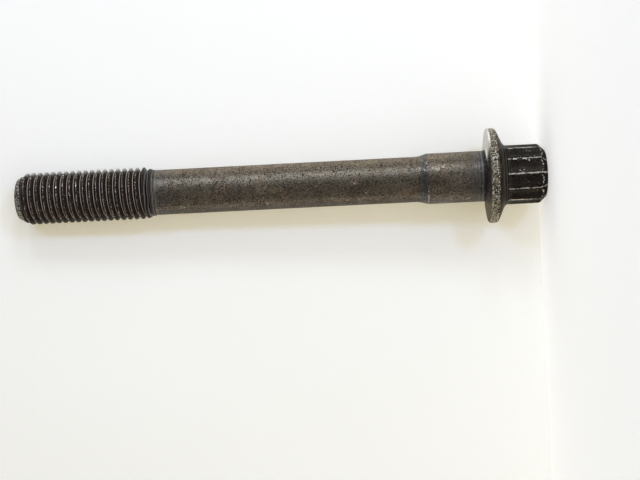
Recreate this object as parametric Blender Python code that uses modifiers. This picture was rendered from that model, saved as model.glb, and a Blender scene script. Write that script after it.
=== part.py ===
"""Cylinder head bolt: one steel piece with a twelve-point head, a flange and a reduced shank, M12 x 1.5.

The bolt stands on its head with its axis on +Z. The origin is the centre of the head's end face, the
bearing face under the flange looks up, and the end of the thread is the highest point.

The body is turned from one profile. The twelve-point head is two hexagonal bars, a twelfth of a turn
apart, trimmed to a turned outline and joined to it. The right-hand thread is cut by a V-shaped helix
that climbs out of the metal where the thread runs out.
"""

import math

import bmesh
import bpy
from mathutils import Matrix, Vector

MM = 0.001

# Whole bolt
LENGTH_UNDER_HEAD = 107.0 * MM
HEAD_HEIGHT = 13.0 * MM

# Thread
THREAD_DIAMETER = 11.85 * MM
THREAD_PITCH = 1.5 * MM
THREAD_ANGLE = math.radians(60.0)
THREAD_DEPTH = 0.86 * MM
THREAD_ROOT_FLAT = 0.22 * MM
THREAD_LENGTH = 29.2 * MM
THREAD_RUNOUT_LENGTH = 2.5 * MM
THREAD_START_ANGLE = math.radians(-90.0)
TIP_DIAMETER = 9.2 * MM
TIP_CHAMFER_LENGTH = 2.3 * MM

# Shank and shoulder
SHANK_DIAMETER = 10.3 * MM
SHOULDER_DIAMETER = 11.5 * MM
SHOULDER_LENGTH = 13.5 * MM
SHOULDER_TAPER_LENGTH = 2.0 * MM
TAPER_BLEND_RADIUS = 4.0 * MM
UNDERHEAD_FILLET_RADIUS = 1.0 * MM

# Flange
FLANGE_DIAMETER = 21.4 * MM
FLANGE_EDGE_THICKNESS = 1.9 * MM
FLANGE_BEARING_EDGE_RADIUS = 0.35 * MM
FLANGE_OUTER_EDGE_RADIUS = 0.9 * MM
FLANGE_CONE_ANGLE = math.radians(25.0)
NECK_FILLET_RADIUS = 3.0 * MM

# Twelve-point head
HEAD_ACROSS_FLATS = 12.0 * MM
HEAD_POINT_TRIM = 0.23 * MM
HEAD_CHAMFER = 1.5 * MM
HEAD_CHAMFER_OUTER_RADIUS = 1.0 * MM
HEAD_CHAMFER_END_RADIUS = 0.5 * MM

# Facets and clearances for the cuts
ROUND_STEPS = 44
HEAD_TRIM_STEPS = 96
ARC_STEP_ANGLE = math.radians(16.0)
CUT_CLEARANCE = 0.12 * MM
JOIN_DEPTH = 0.06 * MM
MERGE_DISTANCE = 0.00001
WELD_DISTANCE = 0.000001

# Colour of the worn, heat-darkened steel
STEEL_COLOR = (0.055, 0.047, 0.040, 1.0)
STEEL_ROUGHNESS = 0.42
STEEL_METALLIC = 0.85
SHARP_ANGLE = math.radians(28.0)

# Worked-out heights and radii
THREAD_END_Z = HEAD_HEIGHT + LENGTH_UNDER_HEAD
THREAD_RADIUS = THREAD_DIAMETER / 2
THREAD_START_Z = THREAD_END_Z - THREAD_LENGTH
SHANK_END_Z = THREAD_START_Z - THREAD_RUNOUT_LENGTH
SHANK_RADIUS = SHANK_DIAMETER / 2
SHOULDER_RADIUS = SHOULDER_DIAMETER / 2
SHOULDER_END_Z = HEAD_HEIGHT + SHOULDER_LENGTH
SHANK_START_Z = SHOULDER_END_Z + SHOULDER_TAPER_LENGTH
FLANGE_RADIUS = FLANGE_DIAMETER / 2
HEAD_POINT_RADIUS = HEAD_ACROSS_FLATS / 2 / math.cos(math.pi / 6) - HEAD_POINT_TRIM
HEAD_VALLEY_RADIUS = HEAD_ACROSS_FLATS / 2 / math.cos(math.pi / 12)
NECK_RADIUS = HEAD_VALLEY_RADIUS - JOIN_DEPTH


def rounded(corners):
    """A profile of (r, z) points from corners (r, z, radius): an arc of that radius takes each corner off.

    A rounding keeps to the edges beside it, and shares an edge with the rounding at its other end.
    """
    points = []
    for index, (radius, height, rounding) in enumerate(corners):
        corner = Vector((radius, height))
        if not rounding:
            points.append(tuple(corner))
            continue
        before, after = corners[index - 1], corners[index + 1]
        into = Vector(before[:2]) - corner
        out = Vector(after[:2]) - corner
        turn = math.pi - into.angle(out)
        room = min(into.length / (2 if before[2] else 1), out.length / (2 if after[2] else 1))
        setback = min(rounding * math.tan(turn / 2), room)
        rounding = setback / math.tan(turn / 2)
        start = corner + into.normalized() * setback
        centre = corner + (into.normalized() + out.normalized()).normalized() * math.hypot(setback, rounding)
        steps = math.ceil(turn / ARC_STEP_ANGLE)
        side = 1 if into.cross(out) > 0 else -1
        for step in range(steps + 1):
            swing = Matrix.Rotation(-side * turn * step / steps, 2)
            points.append(tuple(centre + swing @ (start - centre)))
    return points


def new_collection(name):
    """A collection of this name under the scene's own."""
    collection = bpy.data.collections.new(name)
    bpy.context.scene.collection.children.link(collection)
    return collection


def new_object(name, mesh, collection):
    """An object that shows a mesh, linked to a collection."""
    obj = bpy.data.objects.new(name, mesh)
    collection.objects.link(obj)
    return obj


def make_cutter(obj):
    """Marks an object that only shapes another one."""
    obj.hide_render = True
    obj.display_type = "WIRE"


def turned(name, profile, steps, collection):
    """A solid turned about Z from a profile of (r, z) points that runs from its top to its foot."""
    mesh = bpy.data.meshes.new(name)
    vertices = [(radius, 0.0, height) for radius, height in profile]
    edges = [(index, index + 1) for index in range(len(profile) - 1)]
    mesh.from_pydata(vertices, edges, [])
    obj = new_object(name, mesh, collection)
    screw = obj.modifiers.new("Turn", "SCREW")
    screw.axis = "Z"
    screw.angle = 2 * math.pi
    screw.steps = steps
    screw.render_steps = steps
    screw.use_merge_vertices = True
    screw.merge_threshold = MERGE_DISTANCE
    return obj


def add_boolean(obj, operand, operation):
    """An exact Boolean modifier with another object."""
    boolean = obj.modifiers.new(operation.title() + " " + operand.name, "BOOLEAN")
    boolean.operation = operation
    boolean.object = operand
    boolean.solver = "EXACT"


def weld(mesh):
    """Joins the points that the cuts leave on top of each other."""
    joined = bmesh.new()
    joined.from_mesh(mesh)
    bmesh.ops.remove_doubles(joined, verts=joined.verts, dist=WELD_DISTANCE)
    joined.to_mesh(mesh)
    joined.free()


def cone_height(radius):
    """Height of the flange's cone at a radius."""
    return HEAD_HEIGHT - FLANGE_EDGE_THICKNESS - (FLANGE_RADIUS - radius) * math.tan(FLANGE_CONE_ANGLE)


def bolt_profile():
    """The turned body: thread blank, run-out, reduced shank, taper, shoulder, flange and neck."""
    neck_z = cone_height(NECK_RADIUS)
    return rounded([
        (0.0, THREAD_END_Z, 0.0),
        (TIP_DIAMETER / 2, THREAD_END_Z, 0.0),
        (THREAD_RADIUS, THREAD_END_Z - TIP_CHAMFER_LENGTH, 0.0),
        (THREAD_RADIUS, THREAD_START_Z, 0.0),
        (SHANK_RADIUS, SHANK_END_Z, 0.0),
        (SHANK_RADIUS, SHANK_START_Z, TAPER_BLEND_RADIUS),
        (SHOULDER_RADIUS, SHOULDER_END_Z, 0.0),
        (SHOULDER_RADIUS, HEAD_HEIGHT, UNDERHEAD_FILLET_RADIUS),
        (FLANGE_RADIUS, HEAD_HEIGHT, FLANGE_BEARING_EDGE_RADIUS),
        (FLANGE_RADIUS, HEAD_HEIGHT - FLANGE_EDGE_THICKNESS, FLANGE_OUTER_EDGE_RADIUS),
        (NECK_RADIUS, neck_z, NECK_FILLET_RADIUS),
        (NECK_RADIUS, neck_z - NECK_FILLET_RADIUS, 0.0),
        (0.0, neck_z - NECK_FILLET_RADIUS, 0.0),
    ])


def hexagonal_bar(name, turn, height, collection):
    """A hexagonal bar about Z that passes the head's end, turned by an angle."""
    mesh = bpy.data.meshes.new(name)
    bars = bmesh.new()
    corner_radius = HEAD_ACROSS_FLATS / 2 / math.cos(math.pi / 6)
    bmesh.ops.create_cone(
        bars, cap_ends=True, segments=6, radius1=corner_radius, radius2=corner_radius, depth=2 * height
    )
    bars.to_mesh(mesh)
    bars.free()
    bar = new_object(name, mesh, collection)
    bar.rotation_euler.z = turn
    make_cutter(bar)
    return bar


def twelve_point_head(collection):
    """Two hexagonal bars joined, inside a turned outline with a chamfered end."""
    top = HEAD_HEIGHT - FLANGE_EDGE_THICKNESS
    outline = rounded([
        (0.0, top, 0.0),
        (HEAD_POINT_RADIUS, top, 0.0),
        (HEAD_POINT_RADIUS, HEAD_CHAMFER, HEAD_CHAMFER_OUTER_RADIUS),
        (HEAD_POINT_RADIUS - HEAD_CHAMFER, 0.0, HEAD_CHAMFER_END_RADIUS),
        (0.0, 0.0, 0.0),
    ])
    head = turned("head_outline", outline, HEAD_TRIM_STEPS, collection)
    make_cutter(head)
    star = hexagonal_bar("head_bar", 0.0, HEAD_HEIGHT, collection)
    add_boolean(star, hexagonal_bar("head_bar_turned", math.pi / 6, HEAD_HEIGHT, collection), "UNION")
    add_boolean(head, star, "INTERSECT")
    return head


def thread_cutter(collection):
    """A right-hand V-shaped helix that starts beyond the tip and climbs out over the run-out."""
    slope = math.tan(THREAD_ANGLE / 2)
    root_radius = THREAD_RADIUS - THREAD_DEPTH
    outer_radius = THREAD_RADIUS + CUT_CLEARANCE
    root_half = THREAD_ROOT_FLAT / 2
    outer_half = root_half + (outer_radius - root_radius) * slope
    foot_z = SHANK_END_Z - THREAD_PITCH
    turns = math.ceil((THREAD_END_Z + THREAD_PITCH - foot_z) / THREAD_PITCH)
    section = [
        (root_radius, foot_z - root_half),
        (outer_radius, foot_z - outer_half),
        (outer_radius, foot_z + outer_half),
        (root_radius, foot_z + root_half),
    ]
    mesh = bpy.data.meshes.new("thread_section")
    corners = len(section)
    edges = [(index, (index + 1) % corners) for index in range(corners)]
    mesh.from_pydata([(radius, 0.0, height) for radius, height in section], edges, [])
    helix = new_object("thread_section", mesh, collection)
    screw = helix.modifiers.new("Helix", "SCREW")
    screw.axis = "Z"
    screw.angle = 2 * math.pi
    screw.screw_offset = THREAD_PITCH
    screw.iterations = turns
    screw.steps = ROUND_STEPS
    screw.render_steps = ROUND_STEPS
    cutter_mesh = bpy.data.meshes.new_from_object(helix.evaluated_get(bpy.context.evaluated_depsgraph_get()))
    bpy.data.objects.remove(helix)
    cutter_mesh.name = "thread_cutter"

    exit_radius = SHANK_RADIUS + CUT_CLEARANCE
    groove = bmesh.new()
    groove.from_mesh(cutter_mesh)
    open_edges = [edge for edge in groove.edges if edge.is_boundary]
    bmesh.ops.holes_fill(groove, edges=open_edges, sides=corners)
    for vertex in groove.verts:
        fade = min(max((THREAD_START_Z - vertex.co.z) / THREAD_RUNOUT_LENGTH, 0.0), 1.0)
        radius = math.hypot(vertex.co.x, vertex.co.y)
        climb = 1.0 + fade * (exit_radius - root_radius) / radius
        vertex.co.x *= climb
        vertex.co.y *= climb
    bmesh.ops.recalc_face_normals(groove, faces=groove.faces)
    groove.to_mesh(cutter_mesh)
    groove.free()
    cutter = new_object("thread_cutter", cutter_mesh, collection)
    cutter.rotation_euler.z = THREAD_START_ANGLE
    make_cutter(cutter)
    return cutter


def steel_material():
    """Dark steel of the whole bolt."""
    material = bpy.data.materials.new("darkened_steel")
    material.use_nodes = True
    surface = material.node_tree.nodes["Principled BSDF"]
    surface.inputs["Base Color"].default_value = STEEL_COLOR
    surface.inputs["Roughness"].default_value = STEEL_ROUGHNESS
    surface.inputs["Metallic"].default_value = STEEL_METALLIC
    return material


def head_bolt(parts, cutters):
    """The whole bolt as one solid."""
    bolt = turned("head_bolt", bolt_profile(), ROUND_STEPS, parts)
    add_boolean(bolt, twelve_point_head(cutters), "UNION")
    add_boolean(bolt, thread_cutter(cutters), "DIFFERENCE")
    mesh = bpy.data.meshes.new_from_object(bolt.evaluated_get(bpy.context.evaluated_depsgraph_get()))
    mesh.name = "head_bolt"
    weld(mesh)
    mesh.shade_smooth()
    mesh.set_sharp_from_angle(angle=SHARP_ANGLE)
    bolt.modifiers.clear()
    bolt.data = mesh
    mesh.materials.append(steel_material())
    return bolt


def main():
    for obj in list(bpy.data.objects):
        bpy.data.objects.remove(obj)
    parts = new_collection("cylinder_head_bolt")
    cutters = new_collection("cutters")
    head_bolt(parts, cutters)


main()
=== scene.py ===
"""Looks of a used cylinder head bolt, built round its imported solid.

The bolt stands on its head with its axis on +Z. One closed surface, worked out with numpy, stands for the
solid: a right-hand thread whose rows follow the helix, a reduced shank, a shoulder, a flange and a
twelve-point head. Its four finishes share shader groups for grain, worn edges, rust and scratches.
"""

import math

import bpy
import numpy as np
from bpy.props import FloatProperty, FloatVectorProperty, IntProperty, PointerProperty
from mathutils import Matrix, Vector


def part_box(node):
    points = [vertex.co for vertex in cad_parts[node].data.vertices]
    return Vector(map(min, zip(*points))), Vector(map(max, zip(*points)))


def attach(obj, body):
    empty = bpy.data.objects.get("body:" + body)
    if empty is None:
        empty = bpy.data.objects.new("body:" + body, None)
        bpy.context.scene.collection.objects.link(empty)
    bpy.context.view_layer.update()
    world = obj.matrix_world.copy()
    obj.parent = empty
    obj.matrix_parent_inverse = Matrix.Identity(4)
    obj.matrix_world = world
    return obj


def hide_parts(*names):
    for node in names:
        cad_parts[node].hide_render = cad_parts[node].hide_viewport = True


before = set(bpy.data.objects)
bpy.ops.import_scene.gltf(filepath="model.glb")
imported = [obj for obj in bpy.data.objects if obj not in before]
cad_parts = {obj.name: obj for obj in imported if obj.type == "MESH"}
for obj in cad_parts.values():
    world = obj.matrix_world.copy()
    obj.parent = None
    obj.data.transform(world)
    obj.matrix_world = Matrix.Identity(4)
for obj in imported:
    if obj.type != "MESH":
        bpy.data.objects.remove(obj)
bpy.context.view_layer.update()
BOLT_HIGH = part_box("head_bolt")[1]

bl_info = {
    "name": "Cylinder Head Bolt",
    "version": (1, 0, 0),
    "blender": (4, 5, 0),
    "location": "3D View > Sidebar > Bolt",
    "description": "Builds a used twelve-point flange bolt with a right-hand thread",
    "category": "Add Mesh",
}

MM = 0.001
FULL_TURN = 2 * math.pi


# Values that a user can change


def length_value(name, description, default):
    """A length in metres."""
    return FloatProperty(name=name, description=description, default=default, unit="LENGTH")


def angle_value(name, description, degrees):
    """An angle, given in degrees."""
    return FloatProperty(name=name, description=description, default=math.radians(degrees), unit="ROTATION")


def power_value(name, description, default):
    """The power of a lamp in watts."""
    return FloatProperty(name=name, description=description, default=default, unit="POWER")


def colour_value(name, description, default):
    """A colour."""
    return FloatVectorProperty(name=name, description=description, default=default, subtype="COLOR")


def place_value(name, description, millimetres):
    """A place, given in millimetres."""
    default = [number * MM for number in millimetres]
    return FloatVectorProperty(
        name=name, description=description, default=default, subtype="TRANSLATION", unit="LENGTH"
    )


class BoltSizes(bpy.types.PropertyGroup):
    """Sizes of the bolt, the same as the solid's."""

    length: length_value("Length", "From the head's end to the thread's end", BOLT_HIGH[2])
    head_height: length_value("Head Height", "From the head's end to the bearing face", 13.0 * MM)
    thread_diameter: length_value("Thread Diameter", "Across the crests", 11.85 * MM)
    thread_pitch: length_value("Thread Pitch", "Rise in a turn", 1.5 * MM)
    thread_depth: length_value("Thread Depth", "From crest to root", 0.86 * MM)
    root_flat: length_value("Root Flat", "Width of the groove's floor", 0.22 * MM)
    thread_length: length_value("Thread Length", "Length at full depth", 29.2 * MM)
    runout_length: length_value("Run-out Length", "Where the thread fades out", 2.5 * MM)
    tip_diameter: length_value("Tip Diameter", "Across the thread's end face", 9.2 * MM)
    tip_chamfer: length_value("Tip Chamfer", "Length of the chamfer at the thread's end", 2.3 * MM)
    shank_diameter: length_value("Shank Diameter", "Across the reduced shank", 10.3 * MM)
    shoulder_diameter: length_value("Shoulder Diameter", "Across the locating shoulder", 11.5 * MM)
    shoulder_length: length_value("Shoulder Length", "From the bearing face", 13.5 * MM)
    shoulder_taper: length_value("Shoulder Taper", "Length of the taper to the shank", 2.0 * MM)
    flange_diameter: length_value("Flange Diameter", "Across the flange", 2 * BOLT_HIGH[0])
    flange_edge: length_value("Flange Edge", "Thickness of the flange at its rim", 1.9 * MM)
    flange_cone: angle_value("Flange Cone", "Slope of the flange towards the head", 25.0)
    across_flats: length_value("Across Flats", "Across the head's flats", 12.0 * MM)
    point_trim: length_value("Point Trim", "What is turned off each point", 0.23 * MM)
    head_chamfer: length_value("Head Chamfer", "Chamfer at the head's end", 1.5 * MM)
    columns: IntProperty(name="Columns", description="Faces round the bolt, a multiple of 12", default=204)


class BoltFinish(bpy.types.PropertyGroup):
    """Colours of the steel and what is on it, and colours that paint light, shade and reflection on it."""

    oiled: colour_value("Oiled Steel", "Dark oiled steel", (0.095, 0.070, 0.044))
    rubbed: colour_value("Rubbed Steel", "Where the dark finish is thin", (0.360, 0.300, 0.220))
    bare_and_reflection: colour_value("Bare Steel", "Steel worn bright", (0.74, 0.67, 0.55))
    # Near white mirror steel, the painted reflection on the bearing face's upper side and the crest tops.
    ground_and_reflection: colour_value("Ground Steel", "The ground bearing face", (1.0, 0.99, 0.96))
    rust: colour_value("Rust", "Light surface rust", (0.190, 0.115, 0.055))
    # Near black: dry oil in pits and lathe rings, and painted shade in the thread's grooves and along the
    # under side.
    grime_and_shade: colour_value("Grime", "Dry oil in the grooves", (0.006, 0.004, 0.003))
    # A pale line painted along the thread's root.
    pale_root_line: colour_value("Residue", "Pale line at the thread's root", (0.80, 0.62, 0.47))
    # Painted light: the lighter brown of the thread's flank that faces the head.
    lit_flank_colour: colour_value("Rubbed Thread", "The flank that carries the load", (0.070, 0.038, 0.024))
    gold: colour_value("Gold", "Yellow specks of the old plating", (0.50, 0.36, 0.16))
    brass: colour_value("Brass", "Golden brown of the flange's rim", (0.460, 0.340, 0.130))
    stain: colour_value("Stain", "Blue-black bands from heat and oil", (0.135, 0.140, 0.150))


class StudioSetup(bpy.types.PropertyGroup):
    """Paper, lights and camera. Lamps are lifted and spread from the direction that the camera looks from."""

    paper: colour_value("Paper", "Colour of the floor and the backdrop", (0.84, 0.84, 0.82))
    glow: colour_value("Glow", "Light that the backdrop gives by itself", (0.300, 0.256, 0.143))
    floor_glow: colour_value("Floor Glow", "Light that the floor gives by itself", (0.487, 0.475, 0.446))
    surround: colour_value("Surround", "What the camera sees past the paper", (0.86, 0.85, 0.80))
    world_colour: colour_value("World Colour", "Colour of the even light", (1.0, 0.92, 0.74))
    world_light: FloatProperty(name="World Light", description="Strength of the even light", default=0.09)
    side_colour: colour_value("Side Colour", "Colour of the side lamps", (0.34, 0.52, 1.0))
    streak_colour: colour_value("Streak Colour", "Colour of the streak lamps", (0.73, 0.84, 1.0))
    fill_colour: colour_value("Fill Colour", "Colour of the fill and the lower lamp", (1.0, 0.95, 0.90))
    side_power: power_value("Side Power", "Power of each side lamp", 0.33)
    streak_power: power_value("Streak Power", "Power of each lamp that draws the highlight", 0.27)
    lower_power: power_value("Lower Power", "Power of the lower lamp", 0.030)
    fill_power: power_value("Fill Power", "Power of the fill", 0.35)
    lamp_distance: length_value("Lamp Distance", "From the bolt's middle", 0.45)
    side_lift: angle_value("Side Lift", "How far the side lamps are lifted", 23.0)
    side_spread: angle_value("Side Spread", "How far the side lamps are spread, either way", 26.0)
    streak_lift: angle_value("Streak Lift", "How far the streak lamps are lifted", 49.0)
    thread_streak: angle_value("Thread Streak", "Spread of the streak lamp near the thread", 18.0)
    head_streak: angle_value("Head Streak", "Spread of the streak lamp near the head", -11.0)
    lower_lift: angle_value("Lower Lift", "How far the lower lamp is lifted", -62.0)
    fill_lift: angle_value("Fill Lift", "How far the fill is lifted", 8.0)
    fill_spread: angle_value("Fill Spread", "Spread of the fill and the lower lamp", 4.0)
    lens: FloatProperty(name="Lens", description="Focal length in millimetres", default=67.5)
    eye: place_value("Eye", "The camera's place", (-9.51, -273.05, 40.06))
    aim: place_value("Aim", "What the camera looks at", (-12.66, -0.15, 51.47))
    roll: angle_value("Roll", "The camera's turn about its view", -2.786)


# Small tools for arrays


def smooth_step(low, high, value):
    """0 below low, 1 above high, and 3x^2 - 2x^3 between them."""
    x = np.clip((value - low) / (high - low), 0.0, 1.0)
    return x * x * (3.0 - 2.0 * x)


def smooth_min(a, b, radius):
    """The lower of two surfaces, less (r - |a - b|)^2 / 4r where they are closer than r: a round edge."""
    near = np.maximum(radius - np.abs(a - b), 0.0)
    return np.minimum(a, b) - near * near / (4.0 * radius)


def smooth_max(a, b, radius):
    """The higher of two surfaces with the corner between them filled in the same way."""
    return -smooth_min(-a, -b, radius)


def hashed(cells, seed):
    """A number from 0 to 1 for each whole-numbered cell, its coordinates multiplied, shifted and mixed."""
    x, y, z = (cells[..., axis].astype(np.int64).astype(np.uint32) for axis in range(3))
    mixed = (x * np.uint32(73856093)) ^ (y * np.uint32(19349663)) ^ (z * np.uint32(83492791))
    mixed ^= np.uint32(seed * 2654435761 % 2**32)
    for shift, factor in ((13, 1274126177), (16, 2246822519), (15, 3266489917)):
        mixed = (mixed ^ (mixed >> np.uint32(shift))) * np.uint32(factor)
    return (mixed ^ (mixed >> np.uint32(16))) / 2.0**32


def lattice_noise(points, size, seed):
    """Noise from -1 to 1: hashed values on a lattice of this size, blended by 3x^2 - 2x^3 along each axis."""
    scaled = points / size
    cell = np.floor(scaled)
    part = scaled - cell
    part = part * part * (3.0 - 2.0 * part)
    total = np.zeros(len(points))
    for corner in np.ndindex(2, 2, 2):
        offset = np.array(corner)
        weight = np.prod(np.where(offset == 1, part, 1.0 - part), axis=1)
        total += weight * hashed(cell + offset, seed)
    return 2.0 * total - 1.0


def rounded_profile(corners, step_angle=math.radians(9.0)):
    """Points (r, z) of an outline whose corners (r, z, radius) are taken off by arcs.

    An arc turns about the centre that lies radius / cos(turn / 2) from the corner along its bisector.
    """
    points = []
    for index, (radius, height, rounding) in enumerate(corners):
        corner = np.array((radius, height))
        if not rounding:
            points.append(corner[None, :])
            continue
        into = np.array(corners[index - 1][:2]) - corner
        out = np.array(corners[index + 1][:2]) - corner
        into /= np.linalg.norm(into)
        out /= np.linalg.norm(out)
        turn = math.pi - math.acos(float(np.clip(into @ out, -1.0, 1.0)))
        bisector = (into + out) / np.linalg.norm(into + out)
        side = (out - into) / np.linalg.norm(out - into)
        centre = corner + bisector * rounding / math.cos(turn / 2)
        swing = np.linspace(-turn / 2, turn / 2, math.ceil(turn / step_angle) + 1)
        points.append(centre + rounding * (np.outer(np.sin(swing), side) - np.outer(np.cos(swing), bisector)))
    return np.concatenate(points)


def divided(points, spacing):
    """The same outline with more points, so that each step is at most its spacing."""
    pieces = []
    for start, end, most in zip(points[:-1], points[1:], spacing):
        count = max(1, math.ceil(float(np.linalg.norm(end - start)) / most - 1e-6))
        share = np.arange(count)[:, None] / count
        pieces.append(start + (end - start) * share)
    pieces.append(points[-1:])
    return np.concatenate(pieces)


# The bolt's surface


THREAD_START_ANGLE = math.radians(-90.0)
CREST_ROUNDING = 0.09 * MM
ROOT_ROUNDING = 0.07 * MM
GROOVE_ROWS = np.array((-0.68, -0.62, -0.55, -0.17, -0.09, 0.0, 0.09, 0.17, 0.37, 0.55, 0.62, 0.68)) * MM
FLANK_SLOPE = math.tan(math.radians(30.0))
RUNOUT_CLEARANCE = 0.12 * MM
TAPER_BLEND = 4.0 * MM
SHOULDER_EDGE = 0.25 * MM
UNDERHEAD_FILLET = 1.0 * MM
BEARING_EDGE_ROUNDING = 0.35 * MM
OUTER_EDGE_ROUNDING = 0.9 * MM
NECK_FILLET = 3.0 * MM
CHAMFER_OUTER_ROUNDING = 1.0 * MM
CHAMFER_END_ROUNDING = 0.5 * MM
TIP_EDGE_ROUNDING = 0.3 * MM
POINT_ROUNDING = 0.16 * MM
NECK_ROUNDING = 0.12 * MM
VALLEY_ROUNDING = math.radians(1.6)
POINT_STEP = math.radians(30.0)
SHANK_SPACING = 1.2 * MM
HEAD_SPACING = 0.32 * MM
END_SPACING = 1.0 * MM

THREAD, SHANK, FLANGE, HEAD = range(4)


def shank_end(sizes):
    """Height where the thread has faded out."""
    return sizes.length - sizes.thread_length - sizes.runout_length


def groove_turns(angle, height, sizes):
    """How many pitches a point lies above the first groove, whose middle rises by a pitch in each turn."""
    foot = shank_end(sizes) - sizes.thread_pitch
    return (height - foot) / sizes.thread_pitch - (angle - THREAD_START_ANGLE) / FULL_TURN


def groove_offset(angle, height, sizes):
    """Distance along the axis from the middle of the nearest groove, positive towards the thread's end."""
    return (np.mod(groove_turns(angle, height, sizes) + 0.5, 1.0) - 0.5) * sizes.thread_pitch


def thread_blank(height, sizes):
    """Radius of the bar before its thread: the run-out's cone, the thread diameter and the end's chamfer."""
    chamfer_start = sizes.length - sizes.tip_chamfer
    runout_start = sizes.length - sizes.thread_length
    heights = (shank_end(sizes), runout_start, chamfer_start, sizes.length)
    radii = (sizes.shank_diameter, sizes.thread_diameter, sizes.thread_diameter, sizes.tip_diameter)
    return np.interp(height, heights, np.array(radii) / 2)


def thread_fade(height, sizes):
    """0 on the full thread, rising to 1 over the run-out."""
    return np.clip((sizes.length - sizes.thread_length - height) / sizes.runout_length, 0.0, 1.0)


def thread_radius(angle, height, sizes):
    """Radius of the threaded surface: the lower of the blank and a 60 degree groove with a flat root.

    The groove's radius is root + (distance - root flat / 2) / tan 30, and root climbs by the fade.
    """
    distance = np.abs(groove_offset(angle, height, sizes))
    full_root = sizes.thread_diameter / 2 - sizes.thread_depth
    out_of_metal = sizes.shank_diameter / 2 + RUNOUT_CLEARANCE
    root = full_root + thread_fade(height, sizes) * (out_of_metal - full_root)
    flank = root + (distance - sizes.root_flat / 2) / FLANK_SLOPE
    groove = smooth_max(root, flank, ROOT_ROUNDING)
    return smooth_min(thread_blank(height, sizes), groove, CREST_ROUNDING)


def from_point(angle):
    """Angle to the nearest of the twelve points."""
    return np.abs(np.mod(angle + POINT_STEP / 2, POINT_STEP) - POINT_STEP / 2)


def star_radius(angle, sizes):
    """Radius of two hexagons, one turned by 30 degrees: half the flats / cos(15 degrees + angle to valley).

    The angle is rounded off at the valley, as sqrt(angle^2 + r^2) - r / 2.
    """
    valley = POINT_STEP / 2 - from_point(angle)
    valley = np.sqrt(valley**2 + VALLEY_ROUNDING**2) - VALLEY_ROUNDING / 2
    return sizes.across_flats / 2 / np.cos(POINT_STEP / 2 + np.minimum(valley, POINT_STEP / 2))


def point_radius(sizes):
    """Radius of the turned outline that trims the head's points."""
    return sizes.across_flats / 2 / math.cos(math.pi / 6) - sizes.point_trim


def cone_height(radius, sizes):
    """Height of the flange's cone at a radius."""
    drop = (sizes.flange_diameter / 2 - radius) * math.tan(sizes.flange_cone)
    return sizes.head_height - sizes.flange_edge - drop


def turned_rows(sizes):
    """Rows (radius, height) of the rounded outline from the thread's run-out down to the neck."""
    shank, shoulder = sizes.shank_diameter / 2, sizes.shoulder_diameter / 2
    flange = sizes.flange_diameter / 2
    shoulder_end = sizes.head_height + sizes.shoulder_length
    neck = sizes.across_flats / 2
    neck_top = cone_height(neck, sizes)
    neck_foot = neck_top - NECK_FILLET * math.tan((math.pi / 2 - sizes.flange_cone) / 2)
    outline = rounded_profile([
        (shank, shank_end(sizes), 0.0),
        (shank, shoulder_end + sizes.shoulder_taper, TAPER_BLEND),
        (shoulder, shoulder_end, SHOULDER_EDGE),
        (shoulder, sizes.head_height, UNDERHEAD_FILLET),
        (flange, sizes.head_height, BEARING_EDGE_ROUNDING),
        (flange, sizes.head_height - sizes.flange_edge, OUTER_EDGE_ROUNDING),
        (neck, neck_top, NECK_FILLET),
        (neck, neck_foot - 0.1 * MM, 0.0),
    ])
    spacing = np.where(outline[:-1, 1] > shoulder_end + 2 * sizes.shoulder_taper, SHANK_SPACING, HEAD_SPACING)
    return divided(outline, spacing)


def trim_rows(top, sizes):
    """Rows (radius, height) of the outline that trims the points, from the neck to the head's end face."""
    point = point_radius(sizes)
    outline = rounded_profile([
        (point, top - HEAD_SPACING, 0.0),
        (point, sizes.head_chamfer, CHAMFER_OUTER_ROUNDING),
        (point - sizes.head_chamfer, 0.0, CHAMFER_END_ROUNDING),
        (END_SPACING, 0.0, 0.0),
    ])
    spacing = np.where(outline[1:, 1] > 0.01 * MM, HEAD_SPACING, END_SPACING)
    return divided(outline, spacing)


def tip_rows(sizes):
    """Rows (radius, height) from the last of the thread to the middle of its end face."""
    slope = (sizes.thread_diameter - sizes.tip_diameter) / 2 / sizes.tip_chamfer
    start = sizes.tip_diameter / 2 + slope * 2 * TIP_EDGE_ROUNDING
    outline = rounded_profile([
        (start, sizes.length - 2 * TIP_EDGE_ROUNDING, 0.0),
        (sizes.tip_diameter / 2, sizes.length, TIP_EDGE_ROUNDING),
        (END_SPACING, sizes.length, 0.0),
    ])
    return divided(outline, np.full(len(outline) - 1, END_SPACING))


def ring_faces(rows, columns):
    """Quads between rings of vertices, given from the top down by the numbers of their first vertices."""
    column = np.arange(columns)
    after = (column + 1) % columns
    upper, lower = rows[:-1, None], rows[1:, None]
    quads = (lower + column, lower + after, upper + after, upper + column)
    return np.stack(quads, axis=-1).reshape(-1, 4)


def cap_faces(ring, pole, columns, upwards):
    """Triangles from a ring to its pole, as quads whose last two corners are the same."""
    column = np.arange(columns)
    after = (column + 1) % columns
    first, second = (column, after) if upwards else (after, column)
    centre = np.full(columns, pole)
    return np.stack((ring + first, ring + second, centre, centre), axis=-1)


def clean_faces(faces):
    """Quads and triangles, without repeated corners and without the faces that have no area."""
    keep = faces != np.roll(faces, 1, axis=1)
    corners = keep.sum(axis=1)
    quads = faces[corners == 4]
    threes = corners == 3
    triangles = faces[threes][keep[threes]].reshape(-1, 3)
    return quads, triangles


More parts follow.
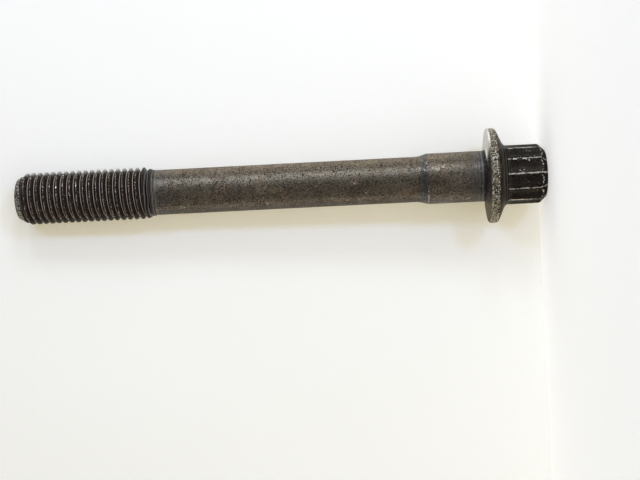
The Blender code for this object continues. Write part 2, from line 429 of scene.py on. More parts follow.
def bolt_surface(sizes):
    """Angle, height and radius of each vertex, and the faces.

    The threaded part is a grid whose rows follow the helix: row q lies at foot + pitch * (q // rows a turn +
    turn) plus an offset from the groove's middle. Rows past either end are drawn onto the ring there. Below
    it each row is a ring of the turned outline. In the head its radius is the lower of the star and the
    trimming outline, or the turned outline's where that is higher.
    """
    columns = sizes.columns
    turn = np.arange(columns) / columns
    angle = turn * FULL_TURN
    low, high = shank_end(sizes), sizes.length - 2 * TIP_EDGE_ROUNDING

    turned = turned_rows(sizes)
    trim = trim_rows(turned[-1, 1], sizes)
    tip = tip_rows(sizes)
    in_head = turned[:, 1] < sizes.head_height - OUTER_EDGE_ROUNDING
    heights = np.concatenate((tip[::-1, 1], turned[:, 1], trim[:, 1]))
    turned_radii = np.concatenate((tip[::-1, 0], turned[:, 0], np.zeros(len(trim))))
    trim_radii = np.concatenate((np.zeros(len(tip)), np.where(in_head, point_radius(sizes), 0.0), trim[:, 0]))
    star = smooth_min(star_radius(angle, sizes)[None, :], trim_radii[:, None], POINT_ROUNDING)
    head_radii = smooth_max(turned_radii[:, None], star, NECK_ROUNDING)
    radii = np.where(trim_radii[:, None] > 0.0, head_radii, turned_radii[:, None])

    ring_angles = np.tile(angle, len(heights))
    ring_heights = np.repeat(heights, columns)
    ring_radii = radii.ravel()
    top_ring, bottom_ring = (len(tip) - 1) * columns, len(tip) * columns

    rows_a_turn = len(GROOVE_ROWS)
    foot = low - sizes.thread_pitch
    turns = math.ceil((high - foot) / sizes.thread_pitch) + 1
    rise = turn - THREAD_START_ANGLE / FULL_TURN
    row = np.arange(turns * rows_a_turn)
    middles = foot + sizes.thread_pitch * (row[:, None] // rows_a_turn + rise[None, :])
    grid_heights = middles + GROOVE_ROWS[row % rows_a_turn][:, None]
    own = (grid_heights > low) & (grid_heights < high)
    column = np.arange(columns)[None, :]
    numbers = np.where(grid_heights <= low, bottom_ring + column, top_ring + column)
    numbers[own] = len(ring_heights) + np.arange(np.count_nonzero(own))
    joined = np.concatenate((numbers[rows_a_turn:, 0], np.full(rows_a_turn, top_ring)))
    numbers = np.column_stack((numbers, joined))
    lower, upper = numbers[:-1], numbers[1:]
    grid = np.stack((lower[:, :-1], lower[:, 1:], upper[:, 1:], upper[:, :-1]), axis=-1).reshape(-1, 4)

    grid_angles = np.broadcast_to(angle, own.shape)[own]
    grid_heights = grid_heights[own]
    angles = np.concatenate((ring_angles, grid_angles, (0.0, 0.0)))
    heights = np.concatenate((ring_heights, grid_heights, (sizes.length, 0.0)))
    radii = np.concatenate((ring_radii, thread_radius(grid_angles, grid_heights, sizes), (0.0, 0.0)))

    ring_rows = np.arange(len(ring_heights) // columns) * columns
    top_pole, bottom_pole = len(radii) - 2, len(radii) - 1
    faces = np.concatenate((
        cap_faces(0, top_pole, columns, upwards=True),
        ring_faces(ring_rows[:len(tip)], columns),
        grid,
        ring_faces(ring_rows[len(tip):], columns),
        cap_faces(ring_rows[-1], bottom_pole, columns, upwards=False),
    ))
    return angles, heights, radii, faces


# Wear in the surface and masks for the finishes


WAVE_SIZE, WAVE_SEED = 2.6 * MM, 3
PIT_SIZE, PIT_SEED = 0.5 * MM, 7
PIT_LEVEL = 0.45
PIT_SHARE = 1.4
FORGED_DEPTH = 0.035 * MM
TURNED_DEPTH = 0.012 * MM
NICK_SEED = 12
POINT_NICKS = 34
RIM_NICKS = 70
RIM_START = 0.965
FACE_MARGIN = 0.1 * MM

# Turn in degrees, height, length, width and depth in millimetres of the nicks that show most
SHOWN_NICKS = (
    (-60.5, 5.9, 0.30, 0.20, 0.08), (-62.0, 4.7, 0.40, 0.18, 0.10), (-64.0, 4.1, 0.18, 0.30, 0.10),
    (-59.0, 3.4, 0.30, 0.18, 0.10), (-55.0, 2.8, 0.22, 0.25, 0.10), (-84.0, 6.2, 0.20, 0.18, 0.09),
    (-83.5, 5.4, 0.30, 0.16, 0.09), (-84.5, 4.6, 0.18, 0.18, 0.09), (-118.0, 5.0, 0.25, 0.2, 0.06),
    (-122.0, 3.0, 0.35, 0.16, 0.07), (-149.0, 4.6, 0.40, 0.16, 0.07), (-152.0, 2.6, 0.30, 0.16, 0.07),
)


def unevenness(points, heights, sizes):
    """How far the surface stands in from its true form: soft waves of the forging and small pits."""
    waves = 0.5 + 0.5 * lattice_noise(points, WAVE_SIZE, WAVE_SEED)
    pits = np.maximum(lattice_noise(points, PIT_SIZE, PIT_SEED) - PIT_LEVEL, 0.0)
    amount = np.where(heights < sizes.head_height, FORGED_DEPTH, TURNED_DEPTH)
    return amount * (waves + PIT_SHARE * pits)


def soft_bands(heights, bands):
    """The strongest of bands (middle, width, strength), each strength * exp(-(distance / width)^2)."""
    levels = [strength * np.exp(-(((heights - middle) / width) ** 2)) for middle, width, strength in bands]
    return np.maximum.reduce(levels)


def nicks(sizes):
    """Nicks as rows (angle, height, length along the bolt, width round it, depth).

    The first are those that show most on the head's points, and the rest are scattered over points and rim.
    """
    rows = [(math.radians(turn), *(number * MM for number in numbers)) for turn, *numbers in SHOWN_NICKS]
    draw = np.random.default_rng(NICK_SEED)
    for _ in range(POINT_NICKS):
        point = POINT_STEP * draw.integers(0, 12)
        rows.append((
            point + draw.normal(0.0, math.radians(2.0)), draw.uniform(1.0, 7.0) * MM,
            draw.uniform(0.15, 0.4) * MM, draw.uniform(0.12, 0.24) * MM, draw.uniform(0.04, 0.08) * MM,
        ))
    for _ in range(RIM_NICKS):
        rows.append((
            draw.uniform(0.0, FULL_TURN), sizes.head_height - draw.uniform(0.1, 1.6) * MM,
            draw.uniform(0.12, 0.4) * MM, draw.uniform(0.2, 0.6) * MM, draw.uniform(0.03, 0.10) * MM,
        ))
    return np.array(rows)


def nick_depths(angles, heights, radii, sizes):
    """How deep the nicks cut each point: depth * exp(-(distance / size)^2), of the deepest nick there."""
    deepest = np.zeros(len(angles))
    low = heights < sizes.head_height + FACE_MARGIN
    for angle, height, length, width, depth in nicks(sizes):
        turn = np.mod(angles[low] - angle + math.pi, FULL_TURN) - math.pi
        reach = ((heights[low] - height) / length) ** 2 + (turn * radii[low] / width) ** 2
        deepest[low] = np.maximum(deepest[low], depth * np.exp(-reach))
    return deepest


def thread_masks(angles, heights, radii, sizes):
    """Crests and roots of the thread, with painted light, shade and reflection: a lighter flank facing the
    head, dark flanks, and pale tops on the upper side.

    Each follows the depth below the blank, as a share of the thread's, and the groove's offset.
    """
    on_thread = (heights > shank_end(sizes)) & (radii > 0.95 * sizes.tip_diameter / 2)
    full_thread = on_thread & (heights > sizes.length - sizes.thread_length)
    offset = groove_offset(angles, heights, sizes)
    depth = np.where(on_thread, (thread_blank(heights, sizes) - radii) / sizes.thread_depth, 0.0)

    crest = np.where(full_thread, 1.0 - smooth_step(0.0, 0.10, depth), 0.0)
    crest = np.where(heights > sizes.length - 2.0 * MM, 1.02 * crest, crest)
    # A pale line painted along the floor of the groove.
    root = smooth_step(0.55, 0.9, depth) * (1.0 - smooth_step(0.0, 0.10 * MM, np.abs(offset)))
    root = root * (1.0 - 0.8 * thread_fade(heights, sizes))
    # Painted light: the flank that faces the head is painted a lighter brown, as if lit from the head's side.
    lit_flank = np.where(offset > 0, smooth_step(0.04, 0.2, depth), 0.0)
    # Painted shade: the flank that faces the thread's end is painted dark, and so is the deep part of the
    # other flank.
    dark = np.where(offset < 0, smooth_step(0.0, 0.14, depth), 0.92 * smooth_step(0.25, 0.75, depth))
    # Painted reflection: pale tops on the crests along the upper side, towards +X, where they would mirror
    # the backdrop.
    painted_cap_reflection = smooth_step(0.86, 0.98, np.cos(angles)) * (1.0 - smooth_step(0.10, 0.60, depth))
    painted_cap_reflection = np.where(full_thread & (heights < sizes.length - 1.2 * MM), 0.85 * painted_cap_reflection, 0.0)
    return crest, root, lit_flank, dark, painted_cap_reflection


def head_masks(angles, heights, sizes):
    """Ridges of the points, valleys between them, and the line where the end's cone cuts the flats.

    The ridge that faces the photo's camera is worn most.
    """
    in_head = (heights > 0.0) & (heights < cone_height(sizes.across_flats / 2, sizes))
    away = from_point(angles)
    column = FULL_TURN / sizes.columns
    ridge = np.where(in_head, 1.0 - smooth_step(0.4, 1.7, away / column), 0.0)
    ridge *= 0.93 + 0.22 * smooth_step(0.96, 0.99, -np.sin(angles))
    valley = np.where(in_head, smooth_step(0.45, 1.0, away / (POINT_STEP / 2)), 0.0)
    cone = point_radius(sizes) - (sizes.head_chamfer - heights)
    scallop = np.exp(-(((cone - star_radius(angles, sizes)) / (0.26 * MM)) ** 2))
    scallop = np.where(in_head & (heights < sizes.head_chamfer), 0.82 * scallop, 0.0)
    return ridge, valley, scallop


def flange_masks(angles, heights, radii, sizes):
    """The rim, a worn ring on the cone, the upper side of the bearing face, where bright steel is a painted
    reflection, and the fillet above it.
    """
    share = radii / (sizes.flange_diameter / 2)
    foot = sizes.head_height - 1.5 * sizes.flange_edge
    at_flange = (heights < sizes.head_height + FACE_MARGIN) & (heights > foot)
    rim = np.where(at_flange, smooth_step(RIM_START, 0.99, share), 0.0)
    cone_edge = np.exp(-(((share - 0.925) / 0.012) ** 2))
    cone_edge = np.where(heights < sizes.head_height - 0.5 * sizes.flange_edge, 0.7 * cone_edge, 0.0)
    above_face = (heights - sizes.head_height) / UNDERHEAD_FILLET
    # Painted reflection: the bearing face is bright steel only on its upper side, towards +X, where it
    # mirrors the backdrop.
    bare_and_reflection = (1.0 - smooth_step(0.2, 0.5, np.abs(above_face))) * smooth_step(0.45, 0.80, np.cos(angles))
    fillet = smooth_step(0.1, 0.4, above_face) * (1.0 - smooth_step(0.8, 1.8, above_face))
    fillet = np.where(radii < sizes.shoulder_diameter / 2 + UNDERHEAD_FILLET, fillet, 0.0)
    return rim, cone_edge, bare_and_reflection, fillet


def finish_masks(angles, heights, radii, sizes):
    """Masks for the finishes, about 0 to 1, of each vertex.

    exposed is high on crests, points and rims. sheltered is high on the thread's flanks that face its end and
    deep in its grooves, which is painted shade, in the head's valleys and the fillet under the flange, which
    are darkened, in soft bands of dirt, and along the under side, which is painted shade. root marks a pale
    line painted along the floor of the thread's groove, loaded the flank of the thread that faces the head,
    painted lighter as painted light, bare the upper side of the bearing face and the tops of the crests,
    where bright steel is a painted reflection, polished what is smoother than the rest, turned the places
    with lathe rings, stained the blue-black bands, and rim the flange's edge.
    """
    crest, root, lit_flank, dark, painted_cap_reflection = thread_masks(angles, heights, radii, sizes)
    ridge, valley, scallop = head_masks(angles, heights, sizes)
    rim, cone_edge, bare_and_reflection, fillet = flange_masks(angles, heights, radii, sizes)
    runout, bearing = shank_end(sizes), sizes.head_height
    shoulder = bearing + sizes.shoulder_length
    taper = shoulder + sizes.shoulder_taper / 2

    corner = soft_bands(heights, ((shoulder, 0.3 * MM, 1.2),))
    corner *= 1.0 - smooth_step(-0.5, 0.1, np.cos(angles))
    # Painted shade: darker along the under side, away from +X.
    underside = np.where(heights > bearing + FACE_MARGIN, smooth_step(0.60, 0.98, -np.cos(angles)), 0.0)
    soiled = soft_bands(heights, ((runout + 1.3 * MM, 1.5 * MM, 0.95), (bearing + 4.0 * MM, 4.5 * MM, 0.25)))
    return {
        "exposed": np.maximum.reduce((crest, ridge, scallop, rim, cone_edge, corner)),
        # Painted shade on the thread's flanks and the under side, darkened valleys and fillet, and bands of
        # dirt.
        "dirt_and_shade_mask": np.maximum.reduce((dark, 0.6 * valley, fillet, soiled, 0.7 * underside)),
        "root": root,
        "lit_flank": lit_flank,
        # Painted reflection: bright steel on the bearing face's upper side and on the crests' upper side.
        "bare_and_reflection": np.maximum(bare_and_reflection, painted_cap_reflection),
        "rim": rim,
        "polished": np.maximum(0.75 * crest, soft_bands(heights, ((shoulder - 3.0 * MM, 3.2 * MM, 1.0),))),
        "stained": soft_bands(heights, (
            (taper - 0.3 * MM, 0.9 * MM, 0.95),
            (bearing + 1.8 * MM, 1.3 * MM, 0.75),
            (runout - 2.0 * MM, 2.4 * MM, 0.35),
        )),
        "turned": soft_bands(heights, (
            (runout + 0.9 * MM, 1.3 * MM, 1.0),
            (sizes.length - 0.9 * MM, 1.2 * MM, 0.5),
            (bearing + 1.6 * MM, 1.6 * MM, 0.5),
            (bearing - 3.2 * MM, 1.1 * MM, 0.6),
        )),
    }


def make_bolt(sizes):
    """The bolt's mesh with its masks and the number of its finish on each face."""
    angles, heights, radii, faces = bolt_surface(sizes)
    quads, triangles = clean_faces(faces)
    masks = finish_masks(angles, heights, radii, sizes)
    smooth = np.column_stack((radii * np.cos(angles), radii * np.sin(angles), heights))
    flat_end = (heights <= 0.0) | (heights >= sizes.length)
    cuts = nick_depths(angles, heights, radii, sizes)
    masks["nicked"] = smooth_step(0.02 * MM, 0.09 * MM, cuts)
    dents = np.where(flat_end, 0.0, unevenness(smooth, heights, sizes) + cuts)
    radii = np.maximum(radii - dents, 0.0)
    points = np.column_stack((radii * np.cos(angles), radii * np.sin(angles), heights))

    mesh = bpy.data.meshes.new("head_bolt_surface")
    mesh.from_pydata(points, [], quads.tolist() + triangles.tolist())

    face_heights = np.concatenate((heights[quads].mean(axis=1), heights[triangles].mean(axis=1)))
    face_radii = np.concatenate((radii[quads].mean(axis=1), radii[triangles].mean(axis=1)))
    zone = np.full(len(face_heights), HEAD)
    zone[face_radii > RIM_START * sizes.flange_diameter / 2] = FLANGE
    zone[face_heights > sizes.head_height - FACE_MARGIN] = FLANGE
    zone[face_heights > sizes.head_height + UNDERHEAD_FILLET] = SHANK
    zone[face_heights > shank_end(sizes)] = THREAD
    mesh.polygons.foreach_set("material_index", zone.astype(np.int32))
    mesh.shade_smooth()
    for name, values in masks.items():
        layer = mesh.attributes.new(name, "FLOAT", "POINT")
        layer.data.foreach_set("value", values.astype(np.float32))
    return mesh


# Shader groups and finishes


def feed(node, values):
    """Links a node's inputs to sockets, or sets them to values."""
    for name, value in values.items():
        if isinstance(value, bpy.types.NodeSocket):
            node.id_data.links.new(value, node.inputs[name])
        else:
            node.inputs[name].default_value = value


def place(tree, kind, values=None, **settings):
    """A node with its settings and with its inputs fed."""
    node = tree.nodes.new(kind)
    for name, value in settings.items():
        setattr(node, name, value)
    feed(node, values or {})
    return node


def join(kind, values, **settings):
    """A node in the tree of the sockets that feed it."""
    tree = next(value.id_data for value in values.values() if isinstance(value, bpy.types.NodeSocket))
    return place(tree, kind, values, **settings)


def vector_maths(operation, first, second):
    """One sum of vectors."""
    return join("ShaderNodeVectorMath", {0: first, 1: second}, operation=operation).outputs[0]


def in_millimetres(tree):
    """The object's coordinates in millimetres."""
    coordinates = place(tree, "ShaderNodeTexCoord").outputs["Object"]
    return vector_maths("MULTIPLY", coordinates, (1000.0, 1000.0, 1000.0))


def maths(operation, first, second=0.0):
    """One sum."""
    return join("ShaderNodeMath", {0: first, 1: second}, operation=operation).outputs[0]


def times(first, second):
    """First times second."""
    return maths("MULTIPLY", first, second)


def less(first, second):
    """First less second."""
    return maths("SUBTRACT", first, second)


def highest(*values):
    """The highest of the values."""
    top = values[0]
    for value in values[1:]:
        top = maths("MAXIMUM", top, value)
    return top


def changed(value, changes, clamp=True):
    """The value plus each mask times its share, which may be below 0, and kept from 0 to 1 if asked."""
    for share, amount in changes:
        values = {0: amount, 1: share, 2: value}
        value = join("ShaderNodeMath", values, operation="MULTIPLY_ADD", use_clamp=clamp).outputs[0]
    return value


def noise(vector, scale, detail, roughness):
    """Noise from 0 to 1."""
    values = {"Vector": vector, "Scale": scale, "Detail": detail, "Roughness": roughness}
    return join("ShaderNodeTexNoise", values).outputs["Fac"]


def ramp(value, low, high):
    """A smooth step from low to high, either way up."""
    values = {"Value": value, "From Min": low, "From Max": high}
    return join("ShaderNodeMapRange", values, interpolation_type="SMOOTHSTEP").outputs["Result"]


def mix_colour(factor, first, second):
    """First where the factor is 0, second where it is 1."""
    return join("ShaderNodeMix", {0: factor, 6: first, 7: second}, data_type="RGBA").outputs[2]


def mask(tree, name):
    """One of the surface's masks."""
    return place(tree, "ShaderNodeAttribute", attribute_name=name).outputs["Fac"]


def new_group(name, inputs, outputs):
    """A shader group of numbers: its tree, what goes into it, which has defaults, and its end node."""
    tree = bpy.data.node_groups.new(name, "ShaderNodeTree")
    for label, default in inputs.items():
        socket = tree.interface.new_socket(label, in_out="INPUT", socket_type="NodeSocketFloat")
        socket.default_value = default
    for label in outputs:
        tree.interface.new_socket(label, in_out="OUTPUT", socket_type="NodeSocketFloat")
    return tree, tree.nodes.new("NodeGroupInput").outputs, tree.nodes.new("NodeGroupOutput")


def grain_group():
    """Grain: soft patches, fine grain, dark pits and pale specks of an oiled surface, each from 0 to 1."""
    tree, given, end = new_group(
        "Grain",
        {"Patch Size": 3.0, "Grain Size": 0.25, "Pit Amount": 0.3, "Speck Amount": 0.2},
        ("Patches", "Grain", "Pits", "Specks"),
    )
    vector = in_millimetres(tree)
    patches = noise(vector, maths("DIVIDE", 1.0, given["Patch Size"]), 3.0, 0.6)
    grain = noise(vector, maths("DIVIDE", 1.0, given["Grain Size"]), 1.0, 0.6)
    marks = {"Patches": ramp(patches, 0.34, 0.66), "Grain": ramp(grain, 0.36, 0.64)}
    for name, scale, moved in (("Pit", 2.3, 3.7), ("Speck", 1.9, 11.3)):
        shifted = vector_maths("ADD", vector, (moved, moved, moved))
        cells = join("ShaderNodeTexVoronoi", {"Vector": shifted, "Scale": scale}).outputs
        chosen = join("ShaderNodeSeparateColor", {0: cells["Color"]}).outputs[0]
        reach = times(given[name + " Amount"], chosen)
        marks[name + "s"] = ramp(less(reach, cells["Distance"]), -0.02, 0.06)
    feed(end, marks)
    return tree


def edge_wear_group():
    """Edge Wear: a mask that follows exposed edges and nicks and is broken up by noise along the bolt."""
    tree, given, end = new_group(
        "Edge Wear",
        {"Exposed": 0.0, "Nicked": 0.0, "Amount": 0.0, "Break Size": 0.4, "Drawn Out": 2.0},
        ("Wear",),
    )
    along = maths("DIVIDE", 1.0, given["Drawn Out"])
    scale = join("ShaderNodeCombineXYZ", {0: 1.0, 1: 1.0, 2: along}).outputs[0]
    drawn = vector_maths("MULTIPLY", in_millimetres(tree), scale)
    broken = noise(drawn, maths("DIVIDE", 1.0, given["Break Size"]), 2.0, 0.65)
    spread = times(less(broken, 0.5), 2.0)
    nicked = times(given["Nicked"], 1.25)
    reach = maths("ADD", highest(given["Exposed"], nicked), spread)
    above = maths("ADD", less(reach, 1.0), given["Amount"])
    feed(end, {"Wear": ramp(above, -0.06, 0.12)})
    return tree


def scratches_group():
    """Scratches: curved hairlines, which are contour lines of soft noise, and rings left by turning."""
    tree, given, end = new_group("Scratches", {"Amount": 0.3}, ("Lines", "Turned"))
    vector = in_millimetres(tree)
    contour = maths("ABSOLUTE", less(noise(vector, 0.45, 2.0, 0.55), 0.5))
    line = ramp(contour, 0.012, 0.004)
    stretches = noise(vector, 0.7, 2.0, 0.6)
    limit = less(0.75, times(given["Amount"], 0.35))
    chosen = ramp(less(stretches, limit), 0.0, 0.04)
    height = join("ShaderNodeSeparateXYZ", {0: vector}).outputs[2]
    wobble = times(noise(vector, 0.25, 1.0, 0.5), 0.5)
    values = {"W": maths("ADD", height, wobble), "Scale": 2.9, "Detail": 1.0, "Roughness": 0.7}
    turned = join("ShaderNodeTexNoise", values, noise_dimensions="1D").outputs["Fac"]
    feed(end, {"Lines": times(line, chosen), "Turned": ramp(turned, 0.36, 0.64)})
    return tree


def rust_group():
    """Rust: thin patches of light rust with a fine ragged edge, and golden specks beside them."""
    tree, given, end = new_group("Rust", {"Amount": 0.3}, ("Rust", "Gold"))
    vector = in_millimetres(tree)
    wide = noise(vector, 0.3, 2.0, 0.6)
    fine = noise(vector, 2.6, 3.0, 0.75)
    both = maths("ADD", times(wide, 0.6), times(fine, 0.4))
    over = less(both, less(0.66, times(given["Amount"], 0.3)))
    specks = noise(vector, 3.2, 1.0, 0.5)
    gold = times(ramp(specks, 0.64, 0.72), ramp(over, -0.06, 0.02))
    feed(end, {"Rust": ramp(over, -0.02, 0.10), "Gold": gold})
    return tree


def grouped(tree, group, **values):
    """A group node's outputs, with its inputs fed."""
    inputs = {name.replace("_", " ").title(): value for name, value in values.items()}
    return place(tree, "ShaderNodeGroup", inputs, node_tree=group).outputs


def new_material(name):
    """A material with its node tree and its shader."""
    material = bpy.data.materials.new(name)
    material.use_nodes = True
    return material, material.node_tree, material.node_tree.nodes["Principled BSDF"]


# What every finish has unless its own look says otherwise

LOOK_DEFAULTS = dict(
    oiled=0.8, patch_size=3.5, grain_size=0.23, patches=0.30, grain=1.00, pits=0.50, specks=0.19, rust=0.30,
    gold=0.6, wear=-0.10, break_size=0.4, drawn_out=2.0, scratches=0.5, dirt_and_shade_mask=0.9, root=0.0, lit_flank=0.0,
    rim=0.0, rings=0.3, metallic=0.85, roughness=0.33, specular=0.35, edge=0.62, turned=0.2, relief=0.30,
)
LOOKS = {
    "thread_steel": dict(
        root=1.0, lit_flank=0.8, break_size=0.36, drawn_out=0.4, rust=0.1, specular=0.12, oiled=0.2,
        scratches=0.0, rings=0.25, edge=0.3, grain=0.15, patches=0.05, dirt_and_shade_mask=1.0, metallic=0.65,
        roughness=0.24,
    ),
    "shank_steel": dict(rust=0.34, gold=0.9, relief=0.36),
    "flange_steel": dict(
        wear=-0.07, break_size=0.42, oiled=0.2, rust=0.2, patches=0.1, grain=0.6, gold=0.9, pits=0.95,
        grain_size=0.42, relief=1.0, scratches=0.2, rim=0.95, drawn_out=0.6,
    ),
    "head_steel": dict(
        wear=0.26, break_size=0.30, oiled=0.16, patches=0.05, grain=0.10, rust=0.1, specular=0.3,
        metallic=0.6, specks=0.16, scratches=0.1, drawn_out=3.0, edge=0.5, rings=0.4,
    ),
}

# How much of the surface each mark covers at its strongest

RUST_COVER = 0.6
STAIN_COVER = 0.75
PIT_COVER = 0.85
RING_COVER = 0.95
HAIRLINE_COVER = 0.6
SPECK_COVER = 0.6

# How much less metallic worn steel is, the tint of reflections at its edges, and the height of the bump

WORN_DULLNESS = 0.18
EDGE_TINT = (1.0, 0.98, 0.94)
BUMP_HEIGHT = 0.06 * MM


def steel_finish(name, groups, finish, look):
    """One finish: oiled steel rubbed in patches, rusted, darkened by dirt and painted shade in its grooves
    and along its under side, and worn on its edges, with painted light on one thread flank and a painted
    reflection on the bearing face and the crest tops.
    """
    material, tree, shader = new_material(name)
    grain = grouped(
        tree, groups["grain"], patch_size=look["patch_size"], grain_size=look["grain_size"],
        pit_amount=look["pits"], speck_amount=look["specks"],
    )
    wear = grouped(
        tree, groups["edge_wear"], exposed=mask(tree, "exposed"), nicked=mask(tree, "nicked"),
        amount=look["wear"], break_size=look["break_size"], drawn_out=look["drawn_out"],
    )["Wear"]
    scratches = grouped(tree, groups["scratches"], amount=look["scratches"])
    rust = grouped(tree, groups["rust"], amount=look["rust"])
    turned, stained, bare_and_reflection = mask(tree, "turned"), mask(tree, "stained"), mask(tree, "bare_and_reflection")
    root = times(mask(tree, "root"), look["root"])

    rubbed = changed(0.0, ((look["patches"], grain["Patches"]), (look["grain"], grain["Grain"])))
    rim = times(times(mask(tree, "rim"), grain["Grain"]), look["rim"])
    dark_ring = times(less(1.0, scratches["Turned"]), turned)
    pits = times(grain["Pits"], less(1.0, turned))
    # Dirt and painted shade: dark flanks and the under side are painted shade.
    dirt_and_shade_mask = times(mask(tree, "dirt_and_shade_mask"), look["dirt_and_shade_mask"])
    grime_and_shade = highest(dirt_and_shade_mask, times(pits, PIT_COVER), times(dark_ring, RING_COVER))
    grime_and_shade = times(grime_and_shade, less(1.0, bare_and_reflection))
    lit_ring = times(ramp(scratches["Turned"], 0.6, 1.0), turned)
    lines, specks = times(scratches["Lines"], HAIRLINE_COVER), times(grain["Specks"], SPECK_COVER)
    worn = highest(wear, lines, specks, times(lit_ring, look["rings"]))
    layers = (
        (rubbed, finish.rubbed),
        (times(rust["Rust"], RUST_COVER), finish.rust),
        (rim, finish.brass),
        (times(stained, STAIN_COVER), finish.stain),
        # Painted light on the thread's flank that faces the head.
        (times(mask(tree, "lit_flank"), look["lit_flank"]), finish.lit_flank_colour),
        (times(rust["Gold"], look["gold"]), finish.gold),
        # Dry oil in pits and rings, and painted shade.
        (grime_and_shade, finish.grime_and_shade),
        # A pale line painted along the thread's root.
        (root, finish.pale_root_line),
        (worn, finish.bare_and_reflection),
        # Painted reflection: near white mirror steel on the bearing face's upper side and the crest tops.
        (bare_and_reflection, finish.ground_and_reflection),
    )
    colour = (*(part * look["oiled"] for part in finish.oiled), 1.0)
    for amount, layer in layers:
        colour = mix_colour(amount, colour, (*layer, 1.0))

    metal = changed(look["metallic"], ((-0.4, rust["Rust"]), (-0.8, grime_and_shade), (0.5, bare_and_reflection)))
    metal = times(metal, less(1.0, times(worn, WORN_DULLNESS)))
    rough = changed(look["roughness"], (
        (0.10, grain["Grain"]), (0.15, rust["Rust"]), (0.15, grime_and_shade), (-0.08, highest(worn, bare_and_reflection)),
        (-0.20, mask(tree, "polished")), (-0.12, stained), (-0.15, bare_and_reflection),
    ))
    rings = times(scratches["Turned"], highest(turned, look["turned"]))
    relief = changed(0.0, (
        (0.8, grain["Grain"]), (-0.9, grain["Pits"]), (1.0, rings), (-0.4, scratches["Lines"]),
    ), clamp=False)
    relief = times(relief, less(1.0, bare_and_reflection))
    values = {"Height": relief, "Strength": look["relief"], "Distance": BUMP_HEIGHT}
    feed(shader, {
        "Base Color": colour,
        "Metallic": changed(metal, ((-0.6, root),)),
        "Roughness": rough,
        "Specular IOR Level": look["specular"],
        "Specular Tint": (*(part * look["edge"] for part in EDGE_TINT), 1.0),
        "Normal": join("ShaderNodeBump", values).outputs["Normal"],
    })
    return material


def finish_bolt(mesh, finish):
    """The four finishes, in the order of the zones."""
    groups = {
        "grain": grain_group(),
        "edge_wear": edge_wear_group(),
        "scratches": scratches_group(),
        "rust": rust_group(),
    }
    for name, look in LOOKS.items():
        mesh.materials.append(steel_finish(name, groups, finish, LOOK_DEFAULTS | look))


# The studio


def paper_material(name, colour, glow, see_through_back):
    """Matt paper that glows a little; its back can be left out, so that it hides nothing from behind."""
    material, tree, shader = new_material(name)
    feed(shader, {
        "Base Color": (*colour, 1.0), "Roughness": 0.9, "Specular IOR Level": 0.1,
        "Emission Color": (*glow, 1.0), "Emission Strength": 1.0,
    })
    if see_through_back:
        clear = place(tree, "ShaderNodeBsdfTransparent").outputs[0]
        back = place(tree, "ShaderNodeNewGeometry").outputs["Backfacing"]
        mixed = join("ShaderNodeMixShader", {0: back, 1: shader.outputs[0], 2: clear})
        feed(tree.nodes["Material Output"], {"Surface": mixed.outputs[0]})
    return material


PAPER_REACH = 0.6
BACKDROP_HEIGHT = 0.4
SIDE_LAMP = (0.05, 0.05)
STREAK_LAMP = (0.10, 0.09)
LOWER_LAMP = (0.50, 0.30)
FILL_LAMP = (0.50, 0.50)


def add_object(name, data):
    """An object in the scene."""
    item = bpy.data.objects.new(name, data)
    bpy.context.collection.objects.link(item)
    return item


def stage_sheet(name, low_y, high_y, high_z, material):
    """A flat sheet of the stage, from one edge on the floor to the other, as wide as the floor."""
    mesh = bpy.data.meshes.new(name)
    left, right = -PAPER_REACH, PAPER_REACH
    corners = ((left, low_y, 0.0), (right, low_y, 0.0), (right, high_y, high_z), (left, high_y, high_z))
    mesh.from_pydata(corners, [], [range(len(corners))])
    mesh.materials.append(material)
    sheet = add_object(name, mesh)
    sheet.visible_shadow = False
    return sheet


def add_lamp(name, lift, spread, distance, aim_at, power, size, colour):
    """A lamp hidden from the camera, lifted from the view towards +X and spread from it along the bolt."""
    light = bpy.data.lights.new(name, "AREA")
    light.shape = "RECTANGLE"
    light.size, light.size_y = size
    light.energy = power
    light.color = colour
    lamp = add_object(name, light)
    away = Vector((math.tan(lift), -1.0, math.tan(spread))).normalized()
    turn = away.to_track_quat("Z", "Y").to_matrix().to_4x4()
    lamp.matrix_world = Matrix.Translation(Vector(aim_at) + away * distance) @ turn
    lamp.visible_camera = False
    return lamp


def light_world(setup):
    """A faint even light, which the camera sees as pale surroundings."""
    world = bpy.data.worlds.new("even_light")
    world.use_nodes = True
    tree = world.node_tree
    even = tree.nodes["Background"]
    feed(even, {"Color": (*setup.world_colour, 1.0), "Strength": setup.world_light})
    seen = place(tree, "ShaderNodeBackground", {"Color": (*setup.surround, 1.0), "Strength": 1.0})
    camera_ray = place(tree, "ShaderNodeLightPath").outputs["Is Camera Ray"]
    mixed = join("ShaderNodeMixShader", {0: camera_ray, 1: even.outputs[0], 2: seen.outputs[0]})
    feed(tree.nodes["World Output"], {"Surface": mixed.outputs[0]})
    return world


def camera_turn(eye, aim, roll):
    """The camera's turn when the picture's right runs down the bolt, then rolled about its view."""
    back = (Vector(eye) - Vector(aim)).normalized()
    down = Vector((0.0, 0.0, -1.0))
    right = (down - back * back.dot(down)).normalized()
    turn = Matrix((right, back.cross(right), back)).transposed()
    return turn @ Matrix.Rotation(roll, 3, "Z")


# Operators


class AddHeadBolt(bpy.types.Operator):
    """Build the bolt's surface and give it its four finishes"""

    bl_idname = "mesh.head_bolt_add"
    bl_label = "Add Head Bolt"

    def execute(self, context):
        mesh = make_bolt(context.scene.bolt_sizes)
        finish_bolt(mesh, context.scene.bolt_finish)
        bolt = add_object("head_bolt_surface", mesh)
        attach(bolt, "root")
        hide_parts("head_bolt")
        return {"FINISHED"}


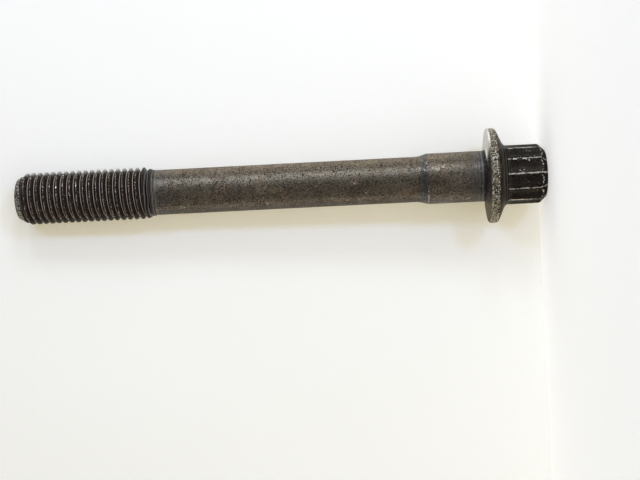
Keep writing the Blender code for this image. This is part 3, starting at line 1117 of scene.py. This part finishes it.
class AddStudio(bpy.types.Operator):
    """Lay the floor and the backdrop, hang the lamps and set up the camera"""

    bl_idname = "scene.bolt_studio_add"
    bl_label = "Add Studio"

    def execute(self, context):
        sizes, setup = context.scene.bolt_sizes, context.scene.bolt_studio
        paper = paper_material("floor_paper", setup.paper, setup.floor_glow, see_through_back=False)
        floor = stage_sheet("floor", -PAPER_REACH, PAPER_REACH, 0.0, paper)
        floor.visible_glossy = False
        # The backdrop touches the flange's rim and leans forward to the thread's crests
        rim_height = sizes.head_height - sizes.flange_edge / 2
        rim, crest = sizes.flange_diameter / 2, sizes.thread_diameter / 2
        lean = (rim - crest) / (sizes.length - sizes.tip_chamfer - rim_height)
        high_y = rim - lean * (BACKDROP_HEIGHT - rim_height)
        paper = paper_material("backdrop_paper", setup.paper, setup.glow, see_through_back=True)
        stage_sheet("backdrop", rim + lean * rim_height, high_y, BACKDROP_HEIGHT, paper)

        side = (setup.side_power, SIDE_LAMP, setup.side_colour)
        streak = (setup.streak_power, STREAK_LAMP, setup.streak_colour)
        lamps = (
            ("thread_side_lamp", setup.side_lift, setup.side_spread, *side),
            ("head_side_lamp", setup.side_lift, -setup.side_spread, *side),
            ("thread_streak_lamp", setup.streak_lift, setup.thread_streak, *streak),
            ("head_streak_lamp", setup.streak_lift, setup.head_streak, *streak),
            (
                "lower_lamp", setup.lower_lift, setup.fill_spread,
                setup.lower_power, LOWER_LAMP, setup.fill_colour,
            ),
            ("fill_lamp", setup.fill_lift, setup.fill_spread, setup.fill_power, FILL_LAMP, setup.fill_colour),
        )
        unreflected = ("thread_side_lamp", "head_side_lamp", "fill_lamp")
        middle = (0.0, 0.0, sizes.length / 2)
        for name, lift, spread, power, size, colour in lamps:
            lamp = add_lamp(name, lift, spread, setup.lamp_distance, middle, power, size, colour)
            lamp.visible_glossy = name not in unreflected
        context.scene.world = light_world(setup)

        lens = bpy.data.cameras.new("camera")
        lens.lens = setup.lens
        lens.clip_start = 0.005
        camera = add_object("camera", lens)
        turn = camera_turn(setup.eye, setup.aim, setup.roll)
        camera.matrix_world = Matrix.Translation(setup.eye) @ turn.to_4x4()
        context.scene.camera = camera
        context.scene.view_settings.view_transform = "Standard"
        return {"FINISHED"}


class BoltPanel(bpy.types.Panel):
    """The bolt's operators and values in the sidebar"""

    bl_idname = "VIEW3D_PT_head_bolt"
    bl_label = "Head Bolt"
    bl_space_type = "VIEW_3D"
    bl_region_type = "UI"
    bl_category = "Bolt"

    def draw(self, context):
        layout = self.layout
        layout.operator(AddHeadBolt.bl_idname)
        layout.operator(AddStudio.bl_idname)
        for group in (context.scene.bolt_sizes, context.scene.bolt_finish, context.scene.bolt_studio):
            box = layout.box()
            for name in group.__annotations__:
                box.prop(group, name)


GROUPS = {"bolt_sizes": BoltSizes, "bolt_finish": BoltFinish, "bolt_studio": StudioSetup}
CLASSES = (*GROUPS.values(), AddHeadBolt, AddStudio, BoltPanel)


def register():
    """Registers the classes and puts their values on the scene."""
    for item in CLASSES:
        bpy.utils.register_class(item)
    for name, group in GROUPS.items():
        setattr(bpy.types.Scene, name, PointerProperty(type=group))


def unregister():
    """Takes back what register did."""
    for name in GROUPS:
        delattr(bpy.types.Scene, name)
    for item in reversed(CLASSES):
        bpy.utils.unregister_class(item)


def main():
    """Builds everything in order."""
    register()
    bpy.ops.mesh.head_bolt_add()
    bpy.ops.scene.bolt_studio_add()


if __name__ == "__main__":
    main()
